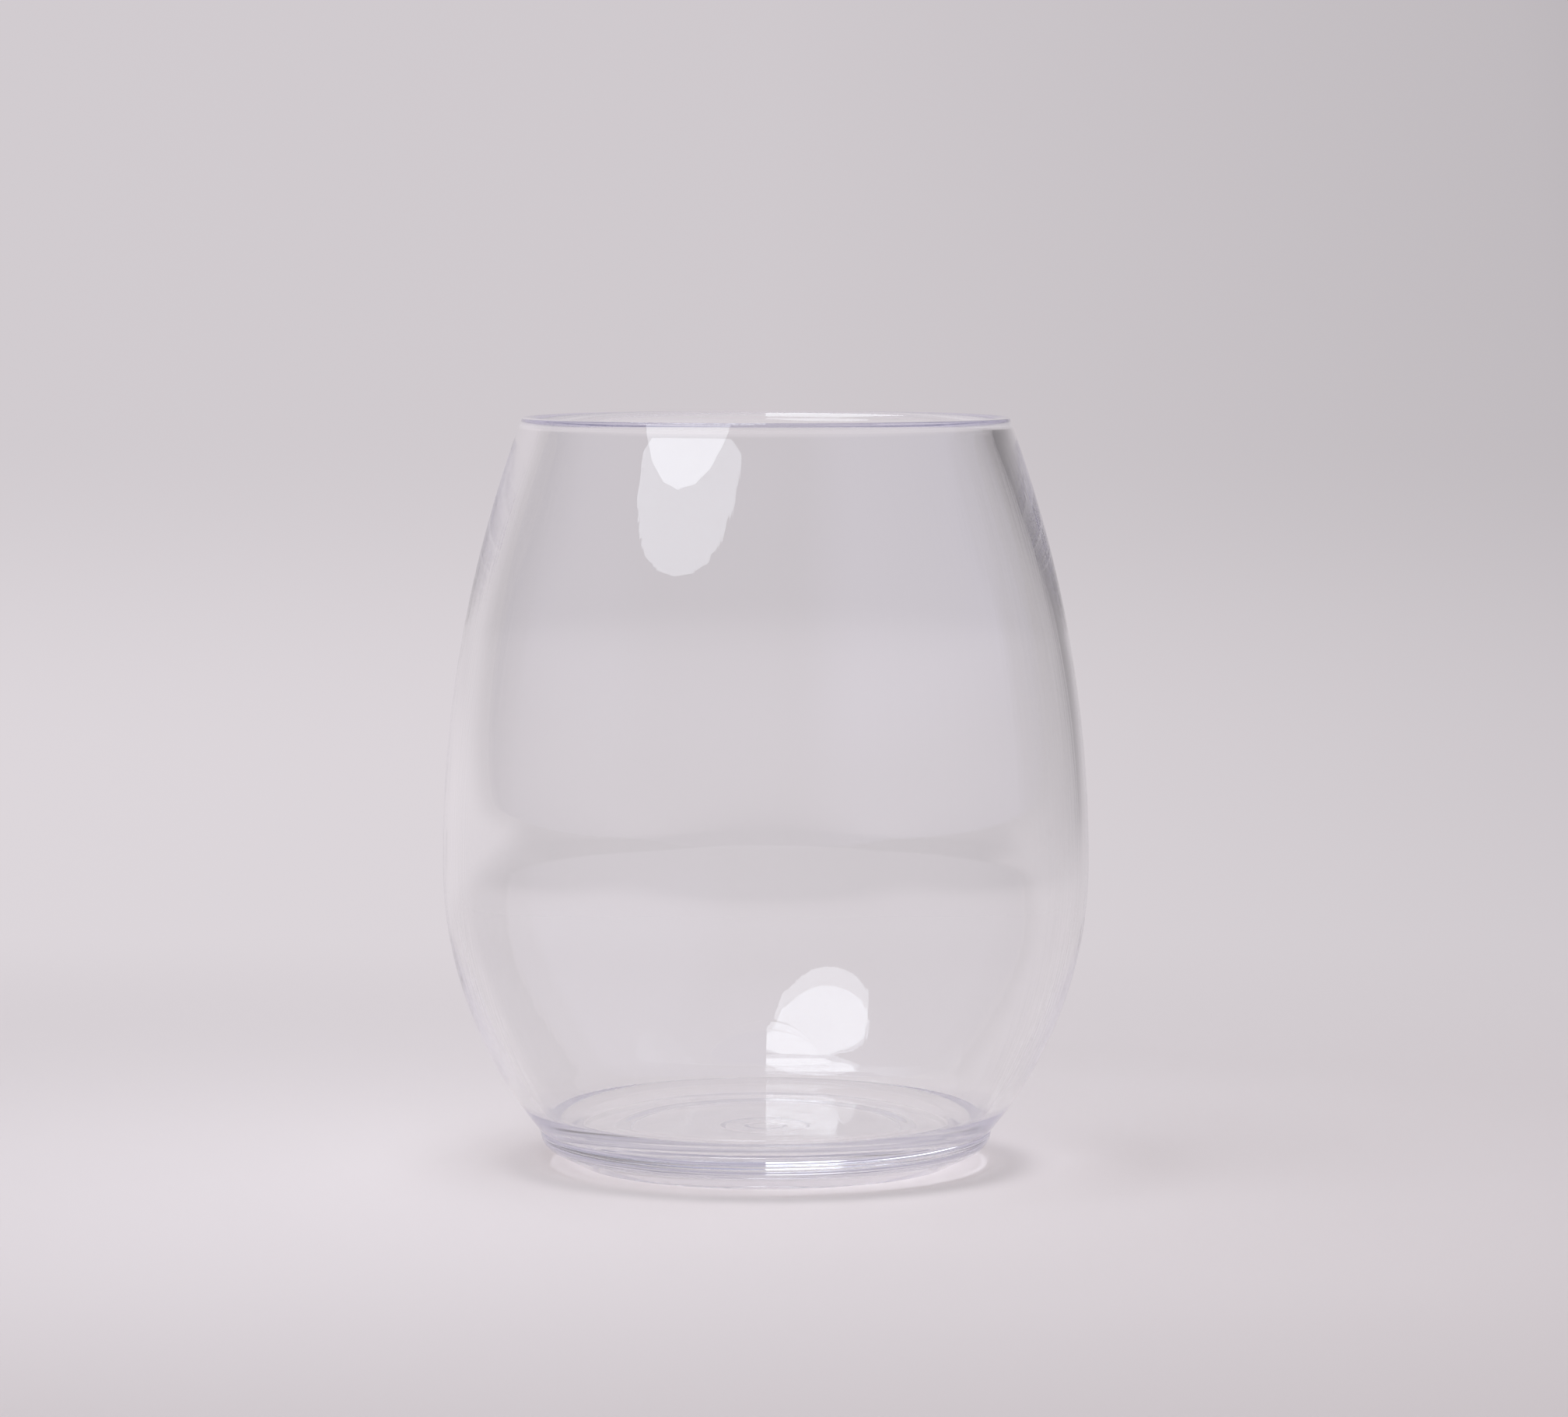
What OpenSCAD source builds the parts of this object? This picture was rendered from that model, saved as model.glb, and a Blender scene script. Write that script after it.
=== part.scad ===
// Stemless water tumbler in clear moulded plastic: a blown, barrel-shaped bowl
// welded onto a moulded foot that is both the floor of the glass and its base.
// Z is the axis of the glass, and Z = 0 is the table it stands on. Millimetres.

/* [Bowl] */
// Height of the glass, from the table to the top of the lip
glass_h = 104; // [90:0.5:125]
// Outside diameter of the belly, the widest place
belly_d = 90; // [80:0.5:100]
// Height of the belly above the table
belly_z = 42; // [34:0.5:50]
// Outside diameter that the wall has reached at the height of the lip
mouth_d = 67.5; // [58:0.5:76]
// Outside diameter of the bowl where it meets the foot
bowl_seat_d = 62.8; // [58:0.2:66]
// Thickness of the wall at the belly
wall = 1.5; // [1.2:0.1:2]
// Radius of the lip's outer edge
lip_outer_r = 0.4; // [0.2:0.05:0.8]
// Width of the flat on top of the lip
lip_flat_w = 0.35; // [0.1:0.05:1]
// Radius of the lip's inner edge
lip_inner_r = 1.8; // [0.8:0.1:2.2]
// Thickness of the wall, measured level, where the curve of the belly ends above the floor
heel_wall = 2.3; // [1.8:0.1:3.2]
// Radius of the corner between the floor and the inside of the wall
floor_corner_r = 10; // [6:0.5:12]

/* [Foot] */
// Height of the weld line between the foot and the bowl
weld_z = 4.6; // [3.8:0.1:5.6]
// Outside diameter of the foot at the weld line
foot_d = 63; // [62.8:0.1:66.5]
// Diameter of the foot where its side reaches the table
contact_d = 51.9; // [46:0.1:56]
// Radius of the round edge of the foot, under the weld line
foot_edge_r = 1.8; // [0.8:0.1:3]
// Height of the spigot that centres the foot in the bowl
spigot_h = 1.1; // [0.6:0.1:2]
// Diameter of the spigot
spigot_d = 49; // [44:0.5:49.5]
// Gap round the spigot
spigot_gap = 0.1; // [0.05:0.01:0.2]

/* [Underside] */
// Diameter of the recess under the foot
recess_d = 42.4; // [34:0.2:45]
// Depth of the recess
recess_h = 0.7; // [0.5:0.1:1.6]
// Width of the slope round the recess
recess_slope_w = 2.7; // [0.5:0.1:5]
// Diameter of the well round the moulding gate
gate_well_d = 12.4; // [8:0.2:16]
// Depth of the well above the roof of the recess
gate_well_h = 0.3; // [0.1:0.05:0.5]
// Diameter of the trimmed gate
gate_d = 5.2; // [2:0.2:6]
// Height of the trimmed gate
gate_h = 0.2; // [0.05:0.05:0.3]

/* [Hidden] */
$fn = 360;

clear_plastic = [0.88, 0.88, 0.93, 0.4];

belly_r = belly_d / 2;
belly_inside_r = belly_r - wall;
floor_z = weld_z + spigot_h;

function hundredth(x) = round(x * 100) / 100;
// Radius of an arc that leaves the belly upright and comes in by "inset" over "rise",
// to the hundredth, so that the arcs above and below the belly meet exactly there
function belly_arc_r(rise, inset) = hundredth((rise * rise + inset * inset) / (2 * inset));
// Half the width of a circle of radius r, at a distance from its centre
function half_chord(r, distance) = sqrt(r * r - distance * distance);

// Upper wall, outside: an arc from the belly in to the mouth
shoulder_r = belly_arc_r(glass_h - belly_z, belly_r - mouth_d / 2);
shoulder_x = belly_r - shoulder_r;
// Round edges of the lip, under the top of the glass, which bite a little into the two sides of the wall
lip_outer_bite = 0.004;
lip_inner_bite = 0.016;
lip_outer_rise = glass_h - lip_outer_r - belly_z;
lip_outer_x = shoulder_x + half_chord(shoulder_r - lip_outer_r + lip_outer_bite, lip_outer_rise);
lip_outer_z = hundredth(belly_z + lip_outer_rise * shoulder_r / (shoulder_r - lip_outer_r));
lip_inner_rise = glass_h - lip_inner_r - belly_z;
lip_inner_x = lip_outer_x - lip_flat_w;
// Upper wall, inside: an arc from the belly to the lip's inner edge, which thickens the wall on the way up
throat_inset = belly_inside_r - lip_inner_x;
throat_reach = lip_inner_r - lip_inner_bite;
throat_r = hundredth(
    (lip_inner_rise * lip_inner_rise + throat_inset * throat_inset - throat_reach * throat_reach)
    / (2 * (throat_inset + throat_reach)));
throat_x = belly_inside_r - throat_r;
lip_inner_z = hundredth(belly_z + lip_inner_rise * throat_r / (throat_r + lip_inner_r));

// Lower wall: the outside arc runs down to the weld, and a tighter inside arc thickens the heel
hull_r = belly_arc_r(belly_z - weld_z, belly_r - bowl_seat_d / 2);
hull_x = belly_r - hull_r;
heel_z = floor_z + floor_corner_r / 2;
heel_x = hull_x + half_chord(hull_r, belly_z - heel_z) - heel_wall;
inner_r = belly_arc_r(belly_z - heel_z, belly_inside_r - heel_x);
inner_x = belly_inside_r - inner_r;
// Centre of the floor's corner, which touches the floor and bites a little into the inside arc
corner_bite = 0.09;
corner_z = floor_z + floor_corner_r;
corner_x = hundredth(inner_x + half_chord(inner_r - floor_corner_r, belly_z - corner_z)) + corner_bite;
// Height at which the corner runs into the inside arc
corner_end_z = hundredth(corner_z - (belly_z - corner_z) * floor_corner_r / (inner_r - floor_corner_r));

// Side of the foot: a cone from the table up to the round edge, which it meets a little inside its surface
foot_r = foot_d / 2;
contact_r = contact_d / 2;
edge_x = foot_r - foot_edge_r;
edge_bite = 0.02;
side_slope = atan2(weld_z, edge_x - contact_r) - asin(foot_edge_r / norm([edge_x - contact_r, weld_z]));
side_top = [edge_x, weld_z] + (foot_edge_r - edge_bite) * [sin(side_slope), -cos(side_slope)];

// Rectangle from the axis out to x, between two heights
module core(x, low, high) {
    translate([0, low]) square([x, high - low]);
}

module disc(x, z, r) {
    translate([x, z]) circle(r);
}

// Wall from the belly to the lip, cut level at the top, with a round edge on each side of the cut
module upper_wall_profile() {
    above = glass_h + lip_inner_r;
    difference() {
        intersection() {
            disc(shoulder_x, belly_z, shoulder_r);
            core(belly_r, belly_z, glass_h);
        }
        intersection() {
            disc(throat_x, belly_z, throat_r);
            core(belly_r, belly_z, above);
        }
        difference() {
            core(lip_inner_x, lip_inner_z, above);
            disc(lip_inner_x, belly_z + lip_inner_rise, lip_inner_r);
        }
        difference() {
            translate([lip_outer_x, lip_outer_z]) square([belly_r, above - lip_outer_z]);
            disc(lip_outer_x, belly_z + lip_outer_rise, lip_outer_r);
        }
    }
}

// Space inside the bowl, from the floor up to the belly
module lower_cavity_profile() {
    intersection() {
        disc(inner_x, belly_z, inner_r);
        core(belly_r, corner_end_z, belly_z);
    }
    core(corner_x, floor_z, corner_end_z);
    disc(corner_x, corner_z, floor_corner_r);
}

// Wall from the belly down to the weld face, open in the middle for the foot's spigot
module lower_wall_profile() {
    difference() {
        intersection() {
            disc(hull_x, belly_z, hull_r);
            core(belly_r, weld_z, belly_z);
        }
        lower_cavity_profile();
        core(spigot_d / 2 + spigot_gap, weld_z, floor_z);
    }
}

module bowl() {
    color(clear_plastic)
        rotate_extrude() {
            upper_wall_profile();
            lower_wall_profile();
        }
}

// Recess with a sloping edge, and the gate's well in the middle of its roof
module recess_profile() {
    recess_r = recess_d / 2;
    polygon([[0, 0], [recess_r, 0], [recess_r - recess_slope_w, recess_h], [0, recess_h]]);
    difference() {
        core(gate_well_d / 2, 0, recess_h + gate_well_h);
        core(gate_d / 2, recess_h + gate_well_h - gate_h, recess_h + gate_well_h);
    }
}

module foot_profile() {
    difference() {
        union() {
            polygon([[0, 0], [contact_r, 0], side_top, [edge_x, weld_z], [0, weld_z]]);
            intersection() {
                disc(edge_x, weld_z, foot_edge_r);
                core(foot_r, 0, weld_z);
            }
            core(spigot_d / 2, 0, floor_z);
        }
        recess_profile();
    }
}

module foot() {
    color(clear_plastic)
        rotate_extrude() foot_profile();
}

bowl();
foot();
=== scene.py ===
"""Stemless water tumbler in clear moulded plastic, on a pale paper sweep under two soft lights."""
import math

import bmesh
import bpy
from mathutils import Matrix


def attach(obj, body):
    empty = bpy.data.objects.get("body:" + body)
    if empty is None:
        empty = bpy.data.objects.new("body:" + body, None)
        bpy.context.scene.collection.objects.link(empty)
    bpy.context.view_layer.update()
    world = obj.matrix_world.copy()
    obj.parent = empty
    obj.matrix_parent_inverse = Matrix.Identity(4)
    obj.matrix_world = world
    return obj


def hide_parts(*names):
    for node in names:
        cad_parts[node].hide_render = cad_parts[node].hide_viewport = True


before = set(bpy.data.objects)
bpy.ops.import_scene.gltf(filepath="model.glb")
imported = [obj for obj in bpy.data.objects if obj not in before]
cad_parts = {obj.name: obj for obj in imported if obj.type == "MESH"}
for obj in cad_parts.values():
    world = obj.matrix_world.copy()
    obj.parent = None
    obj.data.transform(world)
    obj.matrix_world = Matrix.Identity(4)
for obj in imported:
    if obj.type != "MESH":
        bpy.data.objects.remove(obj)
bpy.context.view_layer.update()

MM = 0.001

# Sizes of the tumbler in millimetres: its outside as in the part's source, and a wall, a corner of the floor
# and an edge of the foot that are fitted to how light runs through them
GLASS_H = 104.0
BELLY_R = 45.0
BELLY_Z = 42.0
MOUTH_R = 33.75
SEAT_R = 31.4
WALL = 1.45
LIP_OUTER_R = 0.4
LIP_INNER_R = 1.8
WELD_Z = 4.6
FLOOR_Z = 5.7
FLOOR_CORNER_R = 8.0
FOOT_R = 31.5
FOOT_EDGE_R = 3.0
CONTACT_R = 25.95
CONTACT_EASE = 0.3
RECESS_R = 21.2
RECESS_EDGE = 2.7
RECESS_H = 0.7
GATE_WELL_R = 6.2
GATE_WELL_H = 0.3
GATE_WELL_SLOPE = 0.4
GATE_R = 2.6
GATE_H = 0.2
GATE_SLOPE = 0.3
GATE_EASE = 0.2

# The wall swells towards the lip and towards the heel: its thickness there, and the heights where the swell
# starts and ends
LIP_WALL = 3.05
LIP_SWELL = (73.0, 106.0)
HEEL_WALL = 1.9
HEEL_SWELL = (33.0, 10.0)
# How far under the top the two sides of the wall end, and how they lean there, in degrees
LIP_CUT = 0.3
LIP_LEAN = 20.0

# Slow waves that blowing leaves in both sides of the wall: height, width round the glass and rise
WAVE_H = 0.04
WAVE_W = 16.0
WAVE_RISE = 45.0
# How far apart in their pattern the waves of the two sides are
WAVE_APART = 9.0
# Heights between which the smooth moulded foot gives way to the blown wall
BLOWN_FROM = 9.0
BLOWN_FULL = 20.0
# Heights between which the waves die out below the trimmed lip
LIP_FROM = 93.0
LIP_FULL = 101.0

# The mesh: segments round the glass, and the distances at which points hold a flat, clear a round and merge
SEGMENTS = 240
HOLD = 0.04
CLEAR = 0.05
MERGE = 0.001


def linear(code):
    """Linear RGBA from an sRGB hex code."""
    parts = [int(code[i:i + 2], 16) / 255 for i in (0, 2, 4)]
    return tuple(c / 12.92 if c <= 0.04045 else ((c + 0.055) / 1.055) ** 2.4 for c in parts) + (1.0,)


def add(tree, kind, inputs=None, **settings):
    """Adds a node with settings, and inputs by name or number: values, sockets or nodes' first outputs."""
    node = tree.nodes.new(kind)
    for name, value in settings.items():
        setattr(node, name, value)
    for key, value in (inputs or {}).items():
        if isinstance(value, bpy.types.Node):
            value = value.outputs[0]
        if isinstance(value, bpy.types.NodeSocket):
            tree.links.new(value, node.inputs[key])
        else:
            node.inputs[key].default_value = value
    return node


def new_object(name, data):
    obj = bpy.data.objects.new(name, data)
    bpy.context.scene.collection.objects.link(obj)
    return obj


def new_material(name):
    """A material with an empty node tree."""
    mat = bpy.data.materials.new(name)
    mat.use_nodes = True
    mat.node_tree.nodes.clear()
    return mat


# Profile of the tumbler: from the middle of the underside, out, up, over the lip and down inside

def between(a, b, share):
    """The point at a share of the way from a to b."""
    return a[0] + (b[0] - a[0]) * share, a[1] + (b[1] - a[1]) * share


def arc(x, z, r, start, end, steps):
    """Points on a circle about (x, z), from one angle to another, in degrees from outwards to up."""
    turns = [math.radians(start + (end - start) * i / steps) for i in range(steps + 1)]
    return [(x + r * math.cos(t), z + r * math.sin(t)) for t in turns]


def belly_arc_r(rise, inset):
    """Radius of an arc that leaves the belly upright and comes in by inset over rise."""
    return (rise * rise + inset * inset) / (2 * inset)


def eased(points, r, steps=4):
    """The points with each inner corner rounded by about r, so that it shades as a crisp edge."""
    out = [points[0]]
    for a, b, c in zip(points, points[1:], points[2:]):
        ab, bc = math.dist(a, b), math.dist(b, c)
        # The rounding leaves a little of the shorter side
        cut = min(r, min(ab, bc) / 2.2)
        start, end = between(b, a, cut / ab), between(b, c, cut / bc)
        for k in range(steps + 1):
            t = k / steps
            out.append(between(between(start, b, t), between(b, end, t), t))
    return out + [points[-1]]


def held(points):
    """The points, with one more close to each end of a long stretch, which keeps its shading flat."""
    out = [points[0]]
    for i in range(len(points) - 1):
        a, b = points[i], points[i + 1]
        length = math.dist(a, b)
        before = math.dist(points[i - 1], a) if i else length
        after = math.dist(b, points[i + 2]) if i + 2 < len(points) else length
        if length > 4 * HOLD:
            for test, share in ((before, HOLD / length), (after, 1 - HOLD / length)):
                if test < length / 2:
                    out.append(between(a, b, share))
        out.append(b)
    return out


def underside():
    roof = RECESS_H
    well = roof + GATE_WELL_H
    gate = eased([(0, well - GATE_H), (GATE_R, well - GATE_H), (GATE_R + GATE_SLOPE, well),
                  (GATE_WELL_R - GATE_WELL_SLOPE, well), (GATE_WELL_R, roof), (RECESS_R - RECESS_EDGE, roof)],
                 GATE_EASE)
    steps = 12
    edge = []
    for i in range(steps):
        t = i / steps
        edge.append((RECESS_R - RECESS_EDGE * (1 - t), roof * (1 - t * t * (3 - 2 * t))))
    return gate[:-1] + edge


def foot_side():
    x, z = FOOT_R - FOOT_EDGE_R, WELD_Z
    run = x - CONTACT_R
    slope = math.atan2(z, run) - math.asin(FOOT_EDGE_R / math.hypot(run, z))
    edge = arc(x, z, FOOT_EDGE_R, math.degrees(slope) - 90, 0, steps=14)
    ring = eased([(RECESS_R, 0), (CONTACT_R, 0), edge[0]], CONTACT_EASE)[:-1]
    steps = 8
    cone = [between(ring[-1], edge[0], i / steps) for i in range(1, steps)]
    return ring + cone + edge


def eased_share(value, start, end):
    """How far value is from start to end, 0 to 1, with both ends eased."""
    t = min(max((value - start) / (end - start), 0), 1)
    return t * t * (3 - 2 * t)


def wall_at(z):
    """Thickness of the wall, square to its outside at height z."""
    lip = (LIP_WALL - WALL) * eased_share(z, *LIP_SWELL)
    heel = (HEEL_WALL - WALL) * eased_share(z, *HEEL_SWELL)
    return WALL + lip + heel


def hull_arc():
    """Middle and radius of the outside arc below the belly."""
    r = belly_arc_r(BELLY_Z - WELD_Z, BELLY_R - SEAT_R)
    return BELLY_R - r, r


def shoulder_arc():
    """Middle and radius of the outside arc above the belly, and the angle at which it ends under the lip."""
    r = belly_arc_r(GLASS_H - BELLY_Z, BELLY_R - MOUTH_R)
    return BELLY_R - r, r, math.degrees(math.asin((GLASS_H - LIP_CUT - BELLY_Z) / r))


def bowl_outside():
    x, r = hull_arc()
    low = -math.degrees(math.asin((BELLY_Z - WELD_Z) / r))
    lower = arc(x, BELLY_Z, r, low, 0, steps=52)
    x, r, high = shoulder_arc()
    return lower + arc(x, BELLY_Z, r, 0, high, steps=44)[1:]


def inside_arc(x, r, start, end, steps):
    """Points inside an arc of the outside, from one angle to another, a wall's thickness in from it."""
    points = []
    for i in range(steps + 1):
        turn = math.radians(start + (end - start) * i / steps)
        inner = r - wall_at(BELLY_Z + r * math.sin(turn))
        points.append((x + inner * math.cos(turn), BELLY_Z + inner * math.sin(turn)))
    return points


def bowl_inside():
    """The inside of the bowl above the belly, and below it to the middle of the floor."""
    x, r, high = shoulder_arc()
    upper = inside_arc(x, r, high, 0, steps=56)
    x, r = hull_arc()
    corner_z = FLOOR_Z + FLOOR_CORNER_R
    reach = r - HEEL_WALL - FLOOR_CORNER_R
    end = -math.degrees(math.asin((BELLY_Z - corner_z) / reach))
    corner_x = x + reach * math.cos(math.radians(end))
    lower = inside_arc(x, r, 0, end, steps=52)
    corner = arc(corner_x, corner_z, FLOOR_CORNER_R, end, -90, steps=24)
    steps = 6
    floor = [(corner_x * (1 - i / steps), FLOOR_Z) for i in range(1, steps + 1)]
    return upper, lower[1:] + corner[1:] + floor


def rounded(a, b, c, r, steps=8):
    """Points of an arc of radius r that rounds the corner at b between a and c."""
    u = [(a[i] - b[i]) / math.dist(a, b) for i in (0, 1)]
    v = [(c[i] - b[i]) / math.dist(c, b) for i in (0, 1)]
    half = math.acos(u[0] * v[0] + u[1] * v[1]) / 2
    way = [u[i] + v[i] for i in (0, 1)]
    out = r / math.sin(half) / math.hypot(*way)
    x, z = [b[i] + way[i] * out for i in (0, 1)]
    along = r / math.tan(half)
    first = math.atan2(b[1] + u[1] * along - z, b[0] + u[0] * along - x)
    last = math.atan2(b[1] + v[1] * along - z, b[0] + v[0] * along - x)
    turn = (last - first + math.pi) % math.tau - math.pi
    return arc(x, z, r, math.degrees(first), math.degrees(first + turn), steps)


def tumbler_profile():
    """The outside and the inside of the tumbler, two lines that meet on the lip."""
    outside = bowl_outside()
    upper, lower = bowl_inside()
    # The lip is cut level, with a crisp outer edge and a wide round inside, set by the wall a little lower
    a, b = outside[-1], upper[0]
    lean = math.tan(math.radians(LIP_LEAN))
    outer_corner = (a[0] - (GLASS_H - a[1]) * lean, GLASS_H)
    inner_corner = (b[0] - (GLASS_H - b[1]) * lean, GLASS_H)
    lower_by = 5
    outer_round = rounded(outside[-1 - lower_by], outer_corner, inner_corner, LIP_OUTER_R)
    inner_round = rounded(outer_corner, inner_corner, upper[lower_by], LIP_INNER_R)
    outside = [p for p in outside if p[1] < outer_round[0][1] - CLEAR]
    upper = [p for p in upper if p[1] < inner_round[-1][1] - CLEAR]
    return held(underside() + foot_side() + outside + outer_round), held(inner_round + upper + lower)


# Lathe: Geometry Nodes turn a profile, drawn in the XZ plane, about Z

LATHE_INPUTS = {"Segments": "Int", "Outside points": "Int", "Merge distance": "Float", "Wave height": "Float",
                "Wave rise": "Float", "Waves round": "Float", "Waves start": "Float", "Waves full": "Float",
                "Lip start": "Float", "Lip full": "Float", "Material": "Material"}


def lathe_tree():
    """The lathe's node tree, and the identifiers of its inputs by name."""
    tree = bpy.data.node_groups.new("Turned shell", "GeometryNodeTree")
    face = tree.interface
    face.new_socket("Profile", in_out="INPUT", socket_type="NodeSocketGeometry")
    sockets = {}
    for name, kind in LATHE_INPUTS.items():
        sockets[name] = face.new_socket(name, in_out="INPUT", socket_type=f"NodeSocket{kind}").identifier
    face.new_socket("Shell", in_out="OUTPUT", socket_type="NodeSocketGeometry")
    given = add(tree, "NodeGroupInput").outputs
    # A grid with a row for each point of the profile, one point longer than the segments, so that it closes
    size = add(tree, "GeometryNodeAttributeDomainSize", {0: given["Profile"]}, component="MESH")
    row = add(tree, "ShaderNodeMath", {0: given["Segments"], 1: 1.0}, operation="ADD")
    grid = add(tree, "GeometryNodeMeshGrid", {"Vertices X": size.outputs["Point Count"], "Vertices Y": row})
    index = add(tree, "GeometryNodeInputIndex")
    share = add(tree, "ShaderNodeMath", {0: index, 1: row}, operation="DIVIDE")
    along = add(tree, "ShaderNodeMath", {0: share}, operation="FLOOR")
    step = add(tree, "ShaderNodeMath", {0: index, 1: row}, operation="FLOORED_MODULO")
    part = add(tree, "ShaderNodeMath", {0: step, 1: given["Segments"]}, operation="DIVIDE")
    turn = add(tree, "ShaderNodeMath", {0: part, 1: math.tau}, operation="MULTIPLY")
    where = add(tree, "GeometryNodeInputPosition")
    point = add(tree, "GeometryNodeSampleIndex",
                {"Geometry": given["Profile"], "Value": where, "Index": along},
                data_type="FLOAT_VECTOR", domain="POINT")
    flat = add(tree, "ShaderNodeSeparateXYZ", {0: point}).outputs
    cos = add(tree, "ShaderNodeMath", {0: turn}, operation="COSINE")
    sin = add(tree, "ShaderNodeMath", {0: turn}, operation="SINE")
    # Slow waves that the blowing leaves, each side of the wall with its own, and none in the foot or the lip
    inside = add(tree, "FunctionNodeCompare", {"A": along, "B": given["Outside points"]},
                 data_type="FLOAT", operation="GREATER_EQUAL")
    round_x = add(tree, "ShaderNodeMath", {0: cos, 1: given["Waves round"]}, operation="MULTIPLY")
    round_y = add(tree, "ShaderNodeMath", {0: sin, 1: given["Waves round"]}, operation="MULTIPLY")
    climb = add(tree, "ShaderNodeMath", {0: flat["Z"], 1: given["Wave rise"]}, operation="DIVIDE")
    apart = add(tree, "ShaderNodeMath", {0: inside, 1: WAVE_APART, 2: climb}, operation="MULTIPLY_ADD")
    field = add(tree, "ShaderNodeCombineXYZ", {"X": round_x, "Y": round_y, "Z": apart})
    noise = add(tree, "ShaderNodeTexNoise", {"Vector": field, "Scale": 1.0, "Detail": 1.0})
    wave = add(tree, "ShaderNodeMath", {0: noise, 1: 0.5}, operation="SUBTRACT")
    blown = add(tree, "ShaderNodeMapRange", {
        "Value": flat["Z"], "From Min": given["Waves start"], "From Max": given["Waves full"]},
        interpolation_type="SMOOTHSTEP")
    below_lip = add(tree, "ShaderNodeMapRange", {
        "Value": flat["Z"], "From Min": given["Lip start"], "From Max": given["Lip full"],
        "To Min": 1.0, "To Max": 0.0}, interpolation_type="SMOOTHSTEP")
    free = add(tree, "ShaderNodeMath", {0: blown, 1: below_lip}, operation="MULTIPLY")
    tall = add(tree, "ShaderNodeMath", {0: free, 1: given["Wave height"]}, operation="MULTIPLY")
    radius = add(tree, "ShaderNodeMath", {0: wave, 1: tall, 2: flat["X"]}, operation="MULTIPLY_ADD")
    x = add(tree, "ShaderNodeMath", {0: radius, 1: cos}, operation="MULTIPLY")
    y = add(tree, "ShaderNodeMath", {0: radius, 1: sin}, operation="MULTIPLY")
    spot = add(tree, "ShaderNodeCombineXYZ", {"X": x, "Y": y, "Z": flat["Z"]})
    placed = add(tree, "GeometryNodeSetPosition", {"Geometry": grid, "Position": spot})
    marked = add(tree, "GeometryNodeStoreNamedAttribute",
                 {"Geometry": placed, "Name": "inside", "Value": inside}, data_type="FLOAT", domain="POINT")
    closed = add(tree, "GeometryNodeMergeByDistance",
                 {"Geometry": marked, "Distance": given["Merge distance"]})
    smooth = add(tree, "GeometryNodeSetShadeSmooth", {"Geometry": closed})
    real = add(tree, "GeometryNodeRealizeInstances", {"Geometry": smooth})
    painted = add(tree, "GeometryNodeSetMaterial", {"Geometry": real, "Material": given["Material"]})
    add(tree, "NodeGroupOutput", {0: painted})
    return tree, sockets


def turned(name, outside, inside, material):
    """A closed shell that a profile in millimetres sweeps about Z, with its faces pointing outwards."""
    profile = outside + inside
    line = bpy.data.meshes.new(name + "_profile")
    line.from_pydata([(x * MM, 0, z * MM) for x, z in profile],
                     [(i, i + 1) for i in range(len(profile) - 1)], [])
    blank = new_object(name + "_profile", line)
    tree, sockets = lathe_tree()
    lathe = blank.modifiers.new("Lathe", "NODES")
    lathe.node_group = tree
    inputs = {"Segments": SEGMENTS, "Outside points": len(outside), "Merge distance": MERGE * MM,
              "Wave height": WAVE_H * MM, "Wave rise": WAVE_RISE * MM, "Waves round": BELLY_R / WAVE_W,
              "Waves start": BLOWN_FROM * MM, "Waves full": BLOWN_FULL * MM,
              "Lip start": LIP_FROM * MM, "Lip full": LIP_FULL * MM, "Material": material}
    for key, value in inputs.items():
        lathe[sockets[key]] = value
    solid = blank.evaluated_get(bpy.context.evaluated_depsgraph_get())
    mesh = bpy.data.meshes.new_from_object(solid)
    bpy.data.objects.remove(blank)
    shell = bmesh.new()
    shell.from_mesh(mesh)
    bmesh.ops.recalc_face_normals(shell, faces=shell.faces)
    if shell.calc_volume(signed=True) < 0:
        bmesh.ops.reverse_faces(shell, faces=shell.faces)
    shell.to_mesh(mesh)
    shell.free()
    mesh.name = name
    return new_object(name, mesh)


# Materials

# Flow lines in the plastic: width, length and depth in millimetres, and their share on the outside
FLOW_LINE_W = 1.2
FLOW_LINE_H = 30.0
FLOW_LINE_DEPTH = 0.008
FLOW_LINE_OUTSIDE = 0.25


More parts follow.
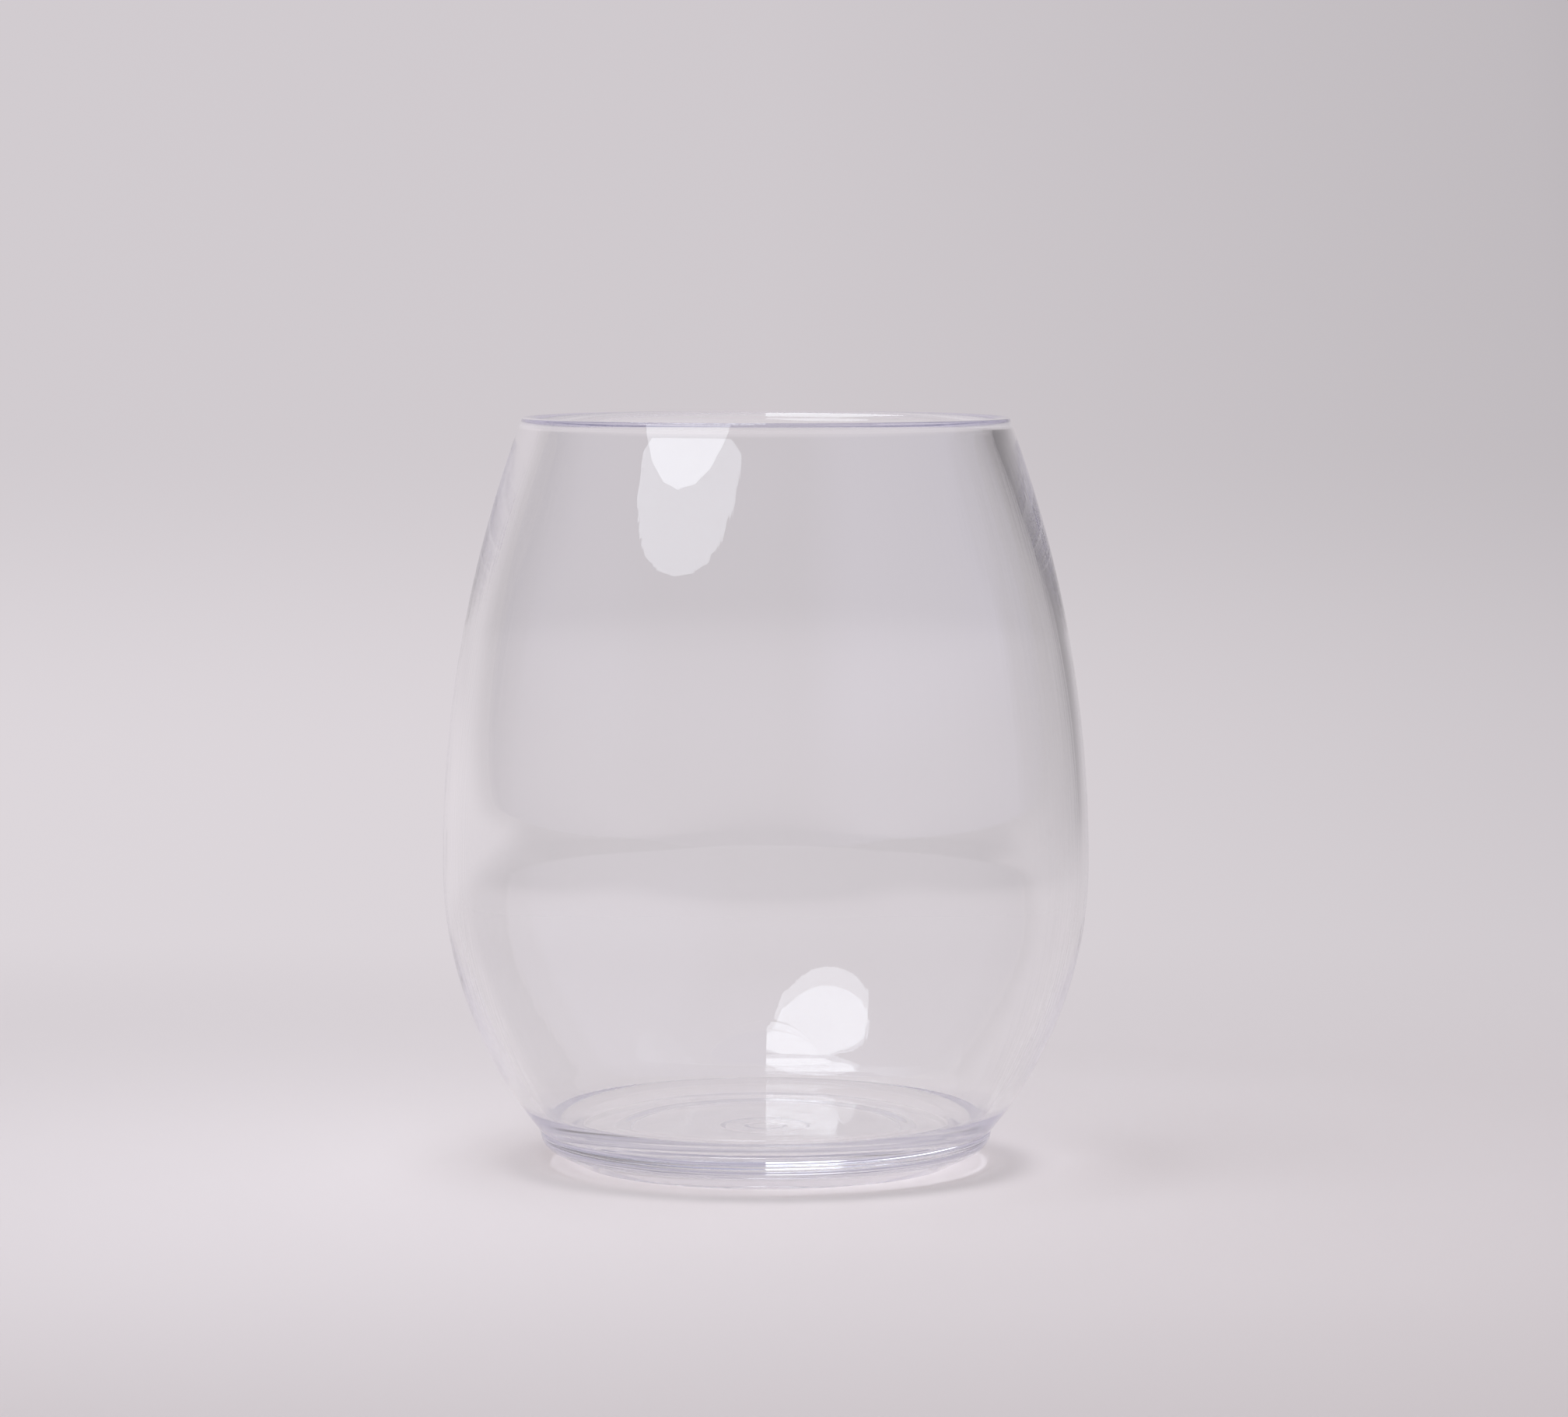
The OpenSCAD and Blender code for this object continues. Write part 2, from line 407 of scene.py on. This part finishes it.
def clear_plastic():
    """Moulded clear copolyester: bright and hard, with a faint blue-violet tint in its thick edges."""
    mat = new_material("clear moulded copolyester")
    tree = mat.node_tree
    # Flow lines run up the wall, and are stronger inside, where no mould has pressed them flat
    coords = add(tree, "ShaderNodeTexCoord")
    place = add(tree, "ShaderNodeSeparateXYZ", {0: coords.outputs["Object"]}).outputs
    level = add(tree, "ShaderNodeCombineXYZ", {"X": place["X"], "Y": place["Y"]})
    facing = add(tree, "ShaderNodeVectorMath", {0: level}, operation="NORMALIZE")
    round_glass = add(tree, "ShaderNodeVectorMath", {0: facing, "Scale": BELLY_R / FLOW_LINE_W},
                      operation="SCALE")
    climb = add(tree, "ShaderNodeMath", {0: place["Z"], 1: FLOW_LINE_H * MM}, operation="DIVIDE")
    up = add(tree, "ShaderNodeCombineXYZ", {"Z": climb})
    flow = add(tree, "ShaderNodeVectorMath", {0: round_glass, 1: up}, operation="ADD")
    lines = add(tree, "ShaderNodeTexNoise", {"Vector": flow, "Scale": 1.0, "Detail": 2.0, "Roughness": 0.55})
    side = add(tree, "ShaderNodeAttribute", attribute_name="inside", attribute_type="GEOMETRY")
    depth = add(tree, "ShaderNodeMapRange", {"Value": side.outputs["Fac"], "To Min": FLOW_LINE_OUTSIDE})
    blown = add(tree, "ShaderNodeMapRange", {
        "Value": place["Z"], "From Min": BLOWN_FROM * MM, "From Max": BLOWN_FULL * MM},
        interpolation_type="SMOOTHSTEP")
    below_lip = add(tree, "ShaderNodeMapRange", {
        "Value": place["Z"], "From Min": LIP_FROM * MM, "From Max": LIP_FULL * MM,
        "To Min": 1.0, "To Max": 0.0}, interpolation_type="SMOOTHSTEP")
    free = add(tree, "ShaderNodeMath", {0: blown, 1: below_lip}, operation="MULTIPLY")
    drawn = add(tree, "ShaderNodeMath", {0: lines, 1: depth}, operation="MULTIPLY")
    ridge = add(tree, "ShaderNodeMath", {0: drawn, 1: free}, operation="MULTIPLY")
    skin = add(tree, "ShaderNodeBump", {"Height": ridge, "Strength": 1.0, "Distance": FLOW_LINE_DEPTH * MM})
    body = add(tree, "ShaderNodeBsdfPrincipled", {
        "Base Color": linear("ffffff"), "Roughness": 0.0, "IOR": 1.53, "Transmission Weight": 1.0,
        "Normal": skin})
    tint = add(tree, "ShaderNodeVolumeAbsorption", {"Color": linear("b3ade1"), "Density": 1.5})
    add(tree, "ShaderNodeOutputMaterial", {"Surface": body, "Volume": tint})
    return mat


# A ray that the plastic has turned this often has lost its way: it sees one even level of painted light,
# which is paler for those that leave the wall or the lip, and dimmer and bluer, as painted shade, for those
# that ran round in the foot
LOST_FROM = 8
# Counts of turns between which the dimming comes in, and between which it goes out again
DIM_FROM = 9
DIM_FULL = 18
DIM_TO = 28
DIM_END = 40
PALE_COLOUR = "e6e1e4"
MEAN_COLOUR = "d3cdd2"
DIM_COLOUR = "636182"
# Lost rays from the foot mostly end on the paper close round it: the distances, in millimetres, out to which
# all come from the foot and past which most come from the wall, and the foot's share there and in the room
FOOT_REACH = 60.0
WALL_REACH = 150.0
PAPER_SHARE = 0.3
ROOM_SHARE = 0.7
# What a count of a ray's turns is compared with, to tell none from some
SOME = 0.5


def straight_view(tree, ray):
    """1 for what shows beside the glass, or straight through it with nothing mirrored on the way, else 0."""
    clear = add(tree, "ShaderNodeMath", {0: ray["Glossy Depth"], 1: SOME}, operation="LESS_THAN")
    through = add(tree, "ShaderNodeMath", {0: ray["Is Transmission Ray"], 1: clear}, operation="MULTIPLY")
    return add(tree, "ShaderNodeMath", {0: ray["Is Camera Ray"], 1: through}, operation="MAXIMUM")


def or_mean(tree, ray, shader, low):
    """The stage's shader, or an even level for a lost ray, with low at 1 for the foot and 0 for the wall."""
    often = add(tree, "ShaderNodeMath", {0: ray["Ray Depth"], 1: LOST_FROM - 0.5}, operation="GREATER_THAN")
    unspread = add(tree, "ShaderNodeMath", {0: ray["Diffuse Depth"], 1: SOME}, operation="LESS_THAN")
    lost = add(tree, "ShaderNodeMath", {0: often, 1: unspread}, operation="MULTIPLY")
    late = add(tree, "ShaderNodeMapRange", {
        "Value": ray["Ray Depth"], "From Min": DIM_FROM, "From Max": DIM_FULL})
    last = add(tree, "ShaderNodeMapRange", {
        "Value": ray["Ray Depth"], "From Min": DIM_TO, "From Max": DIM_END, "To Min": 1.0, "To Max": 0.0})
    running = add(tree, "ShaderNodeMath", {0: late, 1: last}, operation="MULTIPLY")
    dim = add(tree, "ShaderNodeMath", {0: running, 1: low}, operation="MULTIPLY")
    even = add(tree, "ShaderNodeMix", {0: low, 6: linear(PALE_COLOUR), 7: linear(MEAN_COLOUR)},
               data_type="RGBA")
    colour = add(tree, "ShaderNodeMix", {0: dim, 6: even.outputs[2], 7: linear(DIM_COLOUR)}, data_type="RGBA")
    mean = add(tree, "ShaderNodeEmission", {"Color": colour.outputs[2]})
    return add(tree, "ShaderNodeMixShader", {0: lost, 1: shader, 2: mean})


# Level of the paper under the glass, and how much of it shows evenly through the plastic
FLOOR_LEVEL = 0.68
FLOOR_EVENNESS = 0.75

# Painted light: levels of the upright part's glow from left to right, and half the width that they span, in
# metres
ACROSS_LEVELS = [(0.0, 0.68), (0.32, 0.645), (0.5, 0.625), (0.66, 0.53), (0.78, 0.36), (1.0, 0.25)]
ACROSS_HALF = 0.7
# How much lighter the painted glow is at the bottom, and up to which height
BOTTOM_SHARE = 1.13
BOTTOM_H = 0.08
# How far behind the glass the upright part's light is full
BACK_FULL = 0.28
# Sideways distances at which its mirror image starts and ends to fade as painted shade, and what is left of
# it
FAR_FROM = 0.7
FAR_END = 1.5
FAR_SHARE = 0.45
# Edges of the painted shade on the flat part past the light's reach, in front and at the sides: dark, and
# pale
NEAR_DARK = -0.42
NEAR_PALE = -0.2
ENDS_PALE = 0.25
ENDS_DARK = 0.45

# Painted light and shadow in the paper's colour round the foot, for the light that the glass gathers there
# and
# the ring of shade it throws: shares of the paper's own light, sizes in millimetres, and the way the shade is
# deepest
PAINTED_POOL = 0.04
PAINTED_POOL_R = 60.0
PAINTED_SHADE_R = 34.5
PAINTED_SHADE_W = 3.4
PAINTED_SHADE_LEAST = 0.04
PAINTED_SHADE_MOST = 0.23
PAINTED_SHADE_WAY = (0.5, -0.866, 0.0)


def bell(tree, value, middle, width):
    """1 where value is at the middle, falling away evenly on both sides."""
    off = add(tree, "ShaderNodeMath", {0: value, 1: middle}, operation="SUBTRACT")
    share = add(tree, "ShaderNodeMath", {0: off, 1: width}, operation="DIVIDE")
    square = add(tree, "ShaderNodeMath", {0: share, 1: share}, operation="MULTIPLY")
    power = add(tree, "ShaderNodeMath", {0: square, 1: -1.0}, operation="MULTIPLY")
    return add(tree, "ShaderNodeMath", {0: math.e, 1: power}, operation="POWER")


def paper():
    """Matt, pale seamless paper, with its upright part glowing behind the glass, and painted light and shade
    on it.
    """
    mat = new_material("matt seamless paper")
    tree = mat.node_tree
    coords = add(tree, "ShaderNodeTexCoord")
    place = add(tree, "ShaderNodeSeparateXYZ", {0: coords.outputs["Object"]}).outputs
    ray = add(tree, "ShaderNodeLightPath").outputs
    straight = straight_view(tree, ray)
    # Painted light: the upright part glows more on the left than on the right
    across = add(tree, "ShaderNodeMapRange", {
        "Value": place["X"], "From Min": -ACROSS_HALF, "From Max": ACROSS_HALF})
    side = add(tree, "ShaderNodeValToRGB", {0: across})
    stops = side.color_ramp.elements
    while len(stops) < len(ACROSS_LEVELS):
        stops.new(0.5)
    for stop, (position, grey) in zip(stops, ACROSS_LEVELS):
        stop.position = position
        stop.color = (grey, grey, grey, 1.0)
    rise = add(tree, "ShaderNodeMapRange", {
        "Value": place["Z"], "From Min": 0.0, "From Max": BOTTOM_H, "To Min": BOTTOM_SHARE, "To Max": 1.0},
        interpolation_type="SMOOTHSTEP")
    level = add(tree, "ShaderNodeMath", {0: side, 1: rise}, operation="MULTIPLY")
    back = add(tree, "ShaderNodeMapRange", {
        "Value": place["Y"], "From Min": 0.0, "From Max": BACK_FULL}, interpolation_type="SMOOTHSTEP")
    floor = add(tree, "ShaderNodeMix", {0: back, 2: FLOOR_LEVEL, 3: level})
    aside = add(tree, "ShaderNodeMath", {0: place["X"]}, operation="ABSOLUTE")
    far = add(tree, "ShaderNodeMapRange", {
        "Value": aside, "From Min": FAR_FROM, "From Max": FAR_END, "To Min": 1.0, "To Max": FAR_SHARE},
        interpolation_type="SMOOTHSTEP")
    kept = add(tree, "ShaderNodeMath", {0: far, 1: straight}, operation="MAXIMUM")
    glowing = add(tree, "ShaderNodeMath", {0: floor, 1: kept}, operation="MULTIPLY")
    glow = add(tree, "ShaderNodeEmission", {"Color": linear("fff8fd"), "Strength": glowing})
    # What the glass mirrors of the flat part, past the light's reach, is painted shade, darkening into the
    # dim room
    near = add(tree, "ShaderNodeMapRange", {
        "Value": place["Y"], "From Min": NEAR_DARK, "From Max": NEAR_PALE}, interpolation_type="SMOOTHSTEP")
    ends = add(tree, "ShaderNodeMapRange", {
        "Value": aside, "From Min": ENDS_PALE, "From Max": ENDS_DARK, "To Min": 1.0, "To Max": 0.0},
        interpolation_type="SMOOTHSTEP")
    reach = add(tree, "ShaderNodeMath", {0: near, 1: ends}, operation="MULTIPLY")
    pale = add(tree, "ShaderNodeMath", {0: reach, 1: straight}, operation="MAXIMUM")
    tone = add(tree, "ShaderNodeMix", {0: pale, 6: linear("2a2a30"), 7: linear("e4dcdd")}, data_type="RGBA")
    # Round the foot, a painted pool of light and a painted soft ring of shadow, deepest in front on the right
    spot = add(tree, "ShaderNodeCombineXYZ", {"X": place["X"], "Y": place["Y"]})
    apart = add(tree, "ShaderNodeVectorMath", {0: spot}, operation="LENGTH").outputs["Value"]
    painted_pool_spread = bell(tree, apart, 0.0, PAINTED_POOL_R * MM)
    ring = bell(tree, apart, PAINTED_SHADE_R * MM, PAINTED_SHADE_W * MM)
    way = add(tree, "ShaderNodeVectorMath", {0: spot}, operation="NORMALIZE")
    towards = add(tree, "ShaderNodeVectorMath", {0: way, 1: PAINTED_SHADE_WAY}, operation="DOT_PRODUCT")
    depth = add(tree, "ShaderNodeMapRange", {
        "Value": towards.outputs["Value"], "From Min": -1.0, "From Max": 1.0,
        "To Min": PAINTED_SHADE_LEAST, "To Max": PAINTED_SHADE_MOST})
    shade = add(tree, "ShaderNodeMath", {0: ring, 1: depth}, operation="MULTIPLY")
    painted_pool = add(tree, "ShaderNodeMath", {0: painted_pool_spread, 1: PAINTED_POOL, 2: 1.0}, operation="MULTIPLY_ADD")
    painted_light_and_shade = add(tree, "ShaderNodeMath", {0: painted_pool, 1: shade}, operation="SUBTRACT")
    toned = add(tree, "ShaderNodeVectorMath", {0: tone.outputs[2], "Scale": painted_light_and_shade}, operation="SCALE")
    lit = add(tree, "ShaderNodeBsdfDiffuse", {"Color": toned, "Roughness": 0.5})
    # The upright part glows evenly to the eye and in the glass, and so, mostly, does what shows through the
    # glass of the flat part within the light's reach
    mirrored = add(tree, "ShaderNodeMath", {0: ray["Is Camera Ray"], 1: ray["Is Glossy Ray"]},
                   operation="MAXIMUM")
    seen = add(tree, "ShaderNodeMath", {0: mirrored, 1: ray["Is Transmission Ray"]}, operation="MAXIMUM")
    even = add(tree, "ShaderNodeMath", {0: back, 1: seen}, operation="MULTIPLY")
    direct = add(tree, "ShaderNodeMath", {0: ray["Diffuse Depth"], 1: SOME}, operation="LESS_THAN")
    through = add(tree, "ShaderNodeMath", {0: ray["Is Transmission Ray"], 1: direct}, operation="MULTIPLY")
    reached = add(tree, "ShaderNodeMath", {0: through, 1: pale}, operation="MULTIPLY")
    flat = add(tree, "ShaderNodeMath", {0: reached, 1: FLOOR_EVENNESS}, operation="MULTIPLY")
    share = add(tree, "ShaderNodeMath", {0: even, 1: flat}, operation="MAXIMUM")
    both = add(tree, "ShaderNodeMixShader", {0: share, 1: lit, 2: glow})
    low = add(tree, "ShaderNodeMapRange", {
        "Value": apart, "From Min": FOOT_REACH * MM, "From Max": WALL_REACH * MM,
        "To Min": 1.0, "To Max": PAPER_SHARE})
    add(tree, "ShaderNodeOutputMaterial", {"Surface": or_mean(tree, ray, both, low)})
    return mat


# The tumbler, one clear body from its lip to its foot

tumbler = turned("tumbler", *tumbler_profile(), clear_plastic())
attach(tumbler, "root")
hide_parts("bowl", "foot")

# Stage, in metres

SWEEP_HALF_W = 1.6
SWEEP_FRONT = -1.6
# Points along the flat, so that it shades flat round the glass
SWEEP_STEPS = [-0.6, 0.0]
SWEEP_FLAT = 0.55
SWEEP_BEND = 0.5
SWEEP_RISE = 1.2
# How far the paper lies under the foot, so that the two never share a face
SWEEP_BELOW = 0.05 * MM


def sweep():
    line = [(y, 0.0) for y in [SWEEP_FRONT, *SWEEP_STEPS, SWEEP_FLAT]]
    for degrees in range(5, 91, 5):
        turn = math.radians(degrees)
        line.append((SWEEP_FLAT + SWEEP_BEND * math.sin(turn), SWEEP_BEND * (1 - math.cos(turn))))
    line.append((SWEEP_FLAT + SWEEP_BEND, SWEEP_BEND + SWEEP_RISE))
    verts = [(x, y, z - SWEEP_BELOW) for y, z in line for x in (-SWEEP_HALF_W, SWEEP_HALF_W)]
    faces = [(2 * i, 2 * i + 1, 2 * i + 3, 2 * i + 2) for i in range(len(line) - 1)]
    mesh = bpy.data.meshes.new("paper_sweep")
    mesh.from_pydata(verts, [], faces)
    mesh.polygons.foreach_set("use_smooth", [True] * len(faces))
    mesh.materials.append(paper())
    return new_object("paper_sweep", mesh)


sweep()

# Outline of the key light's diffuser as the glass sees it: degrees left of the camera, degrees up
KEY_OUTLINE = [(0, 63), (0, 57), (5.6, 53.7), (10.2, 48), (15.5, 44.2), (19.5, 41.4), (24, 38.6), (30, 36.6),
               (37, 35.6), (44, 35.8), (51, 37.2), (57, 39.5), (62, 42), (67, 46), (69, 50), (65, 55),
               (48, 61), (25, 63)]
KEY_MIDDLE = (32, 49)
KEY_DISTANCE = 0.25
KEY_RADIANCE = 3.95
# Rings of its faces about the middle, and the share of the outline that the innermost has
KEY_RINGS = 6
KEY_INNERMOST = 0.01
# The glass's own middle, which the outline is measured about
GLASS_MIDDLE = 0.05
# Second diffuser over the glass, left of the camera's plane: its edges
TOP_LEFT = -0.10
TOP_FRONT = -0.06
TOP_BACK = 0.12
TOP_HEIGHT = 0.30
TOP_RADIANCE = 4.5


def diffuser(name, verts, faces, radiance):
    """A lit sheet of diffuser cloth, which the glass mirrors but the camera doesn't see."""
    mesh = bpy.data.meshes.new(name)
    mesh.from_pydata(verts, [], faces)
    mat = new_material("lit diffuser cloth")
    tree = mat.node_tree
    ray = add(tree, "ShaderNodeLightPath").outputs
    glow = add(tree, "ShaderNodeEmission", {"Color": linear("f2f8ff"), "Strength": radiance})
    add(tree, "ShaderNodeOutputMaterial", {"Surface": or_mean(tree, ray, glow, ROOM_SHARE)})
    mesh.materials.append(mat)
    obj = new_object(name, mesh)
    obj.visible_camera = False


def key_light():
    verts, faces = [], []
    for ring in range(KEY_RINGS + 1):
        share = max(ring / KEY_RINGS, KEY_INNERMOST)
        for point in KEY_OUTLINE:
            left, up = [math.radians(angle) for angle in between(KEY_MIDDLE, point, share)]
            level = KEY_DISTANCE * math.cos(up)
            verts.append((-level * math.sin(left), -level * math.cos(left),
                          GLASS_MIDDLE + KEY_DISTANCE * math.sin(up)))
    n = len(KEY_OUTLINE)
    for ring in range(KEY_RINGS):
        for i in range(n):
            j = (i + 1) % n
            faces.append((ring * n + i, ring * n + j, ring * n + n + j, ring * n + n + i))
    faces.append(tuple(range(n)))
    diffuser("key_diffuser", verts, faces, KEY_RADIANCE)


def top_light():
    corners = [(0, TOP_FRONT, TOP_HEIGHT), (0, TOP_BACK, TOP_HEIGHT),
               (TOP_LEFT, TOP_BACK, TOP_HEIGHT), (TOP_LEFT, TOP_FRONT, TOP_HEIGHT)]
    diffuser("top_diffuser", corners, [(0, 1, 2, 3)], TOP_RADIANCE)


key_light()
top_light()

# The room along an axis of the direction that it is seen in: two places on the axis, and the level at each
FILL = {"From Min": -1.0, "From Max": 1.0, "To Min": 0.62, "To Max": 0.82}
RIGHT_WALL = {"From Min": 0.15, "From Max": 0.6, "To Min": 0.2, "To Max": 0.65}
RIGHT_WALL_END = {"From Min": 0.18, "From Max": 0.32, "To Min": 1.0, "To Max": 0.4}
LEFT_WALL = {"From Min": -0.6, "From Max": -0.9, "To Min": 0.0, "To Max": 0.15}
OVER_TABLE = {"From Min": 0.05, "From Max": 0.22, "To Min": 0.5, "To Max": 1.0}
CEILING = {"From Min": 0.5, "From Max": 0.9, "To Min": 0.0, "To Max": 0.6}


def room_light():
    """Soft fill from all round; in the glass itself the room is dim, with a pale wall on the right."""
    world = bpy.data.worlds.new("room")
    bpy.context.scene.world = world
    world.use_nodes = True
    tree = world.node_tree
    tree.nodes.clear()
    coords = add(tree, "ShaderNodeTexCoord")
    way = add(tree, "ShaderNodeSeparateXYZ", {0: coords.outputs["Generated"]}).outputs
    ray = add(tree, "ShaderNodeLightPath").outputs
    fill = add(tree, "ShaderNodeMapRange", {"Value": way["X"], **FILL})
    # In the glass: a pale wall on the right that ends beside it, a dim one far left, both dimmer low down
    right = add(tree, "ShaderNodeMapRange", {"Value": way["X"], **RIGHT_WALL},
                interpolation_type="SMOOTHSTEP")
    ends = add(tree, "ShaderNodeMapRange", {"Value": way["Y"], **RIGHT_WALL_END},
               interpolation_type="SMOOTHSTEP")
    wall = add(tree, "ShaderNodeMath", {0: right, 1: ends}, operation="MULTIPLY")
    left = add(tree, "ShaderNodeMapRange", {"Value": way["X"], **LEFT_WALL}, interpolation_type="SMOOTHSTEP")
    walls = add(tree, "ShaderNodeMath", {0: wall, 1: left}, operation="ADD")
    above = add(tree, "ShaderNodeMapRange", {"Value": way["Z"], **OVER_TABLE},
                interpolation_type="SMOOTHSTEP")
    upper = add(tree, "ShaderNodeMath", {0: walls, 1: above}, operation="MULTIPLY")
    high = add(tree, "ShaderNodeMapRange", {"Value": way["Z"], **CEILING}, interpolation_type="SMOOTHSTEP")
    room = add(tree, "ShaderNodeMath", {0: upper, 1: high}, operation="MAXIMUM")
    mirrored = add(tree, "ShaderNodeBackground", {"Color": linear("ddddff"), "Strength": room})
    soft = add(tree, "ShaderNodeBackground", {"Color": linear("fffeff"), "Strength": fill})
    spread = add(tree, "ShaderNodeMath", {0: ray["Diffuse Depth"], 1: SOME}, operation="GREATER_THAN")
    plain = add(tree, "ShaderNodeMath", {0: spread, 1: straight_view(tree, ray)}, operation="MAXIMUM")
    glow = add(tree, "ShaderNodeMixShader", {0: plain, 1: mirrored, 2: soft})
    add(tree, "ShaderNodeOutputWorld", {"Surface": or_mean(tree, ray, glow, ROOM_SHARE)})


room_light()

# Camera, worked out for a picture of 2016 by 1822

PICTURE_W = 2016
FOCAL_PX = 7504.8
AXIS_PX = 984.5
SENSOR_W = 36.0
# Place in metres, and the angle that the camera looks down by
CAMERA_PLACE = (0.0, -0.810, 0.1251)
CAMERA_DOWN = 0.0760

camera_data = bpy.data.cameras.new("camera")
camera_data.sensor_fit = "HORIZONTAL"
camera_data.sensor_width = SENSOR_W
camera_data.lens = SENSOR_W * FOCAL_PX / PICTURE_W
camera_data.shift_x = (PICTURE_W / 2 - AXIS_PX) / PICTURE_W
camera = new_object("camera", camera_data)
camera.location = CAMERA_PLACE
camera.rotation_euler = (math.pi / 2 - CAMERA_DOWN, 0.0, 0.0)

scene = bpy.context.scene
scene.camera = camera
scene.view_settings.view_transform = "Standard"
# Clear plastic passes light on through many faces
scene.cycles.max_bounces = 160
scene.cycles.transmission_bounces = 64
scene.cycles.glossy_bounces = 150
scene.cycles.blur_glossy = 0.0
